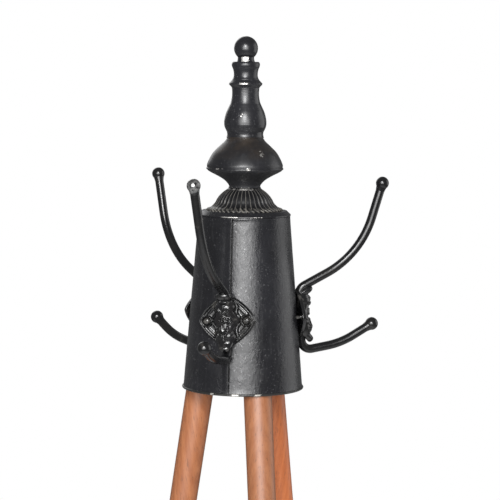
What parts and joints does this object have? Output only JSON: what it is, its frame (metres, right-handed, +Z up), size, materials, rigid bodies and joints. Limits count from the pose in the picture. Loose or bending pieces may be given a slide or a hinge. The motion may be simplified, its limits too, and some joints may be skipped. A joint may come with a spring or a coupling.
{
  "type": "coat stand",
  "caption": "Free-standing coat stand: a conical sheet-metal head with double ball-tipped hooks and a spun finial, on splayed round wooden legs.",
  "frame": {"origin": "on the floor, on the vertical axis of the head and finial", "axes": "+Z up; -Y towards the outside of the front hook; +X to the right when looking at that hook"},
  "size_m": [0.429, 0.4596, 1.8],
  "materials": {
    "distressed_black": "satin black paint, rubbed and lightly chipped",
    "worn_edge": "black paint worn through to bright metal",
    "hook_black": "glossy black paint on cast metal",
    "leg_wood": "reddish-brown stain, satin",
    "plated_steel": "zinc plated",
    "cast_crown": "sand cast, black",
    "inner_plate": "matt black paint",
    "glide_rubber": "moulded, matt"
  },
  "bodies": {
    "root": {"cone_shell": "distressed_black", "cross_bolt_nuts": "plated_steel", "cross_bolts": "plated_steel", "finial_ball": "distressed_black", "finial_bell": "distressed_black", "finial_bowl_lower": "distressed_black", "finial_bowl_upper": "distressed_black", "finial_collar": "distressed_black", "finial_lip": "distressed_black", "finial_neck": "worn_edge", "finial_ring": "distressed_black", "finial_vase": "distressed_black", "foot_glide_front": "glide_rubber", "foot_glide_left": "glide_rubber", "foot_glide_rear": "glide_rubber", "glide_screws": "plated_steel", "hook_plate_front": "hook_black", "hook_plate_left": "hook_black", "hook_plate_right": "hook_black", "hook_rod_front": "hook_black", "hook_rod_left": "hook_black", "hook_rod_right": "hook_black", "leg_crown": "cast_crown", "leg_front": "leg_wood", "leg_left": "leg_wood", "leg_rear": "leg_wood", "mouth_bead": "worn_edge", "mouth_plate": "inner_plate", "plate_screw_nuts": "plated_steel", "plate_screws": "hook_black", "tie_rod": "plated_steel", "tie_rod_nut": "plated_steel", "tie_rod_spacer": "plated_steel", "tie_rod_washer": "plated_steel", "top_cap": "distressed_black"}
  },
  "joints": []
}
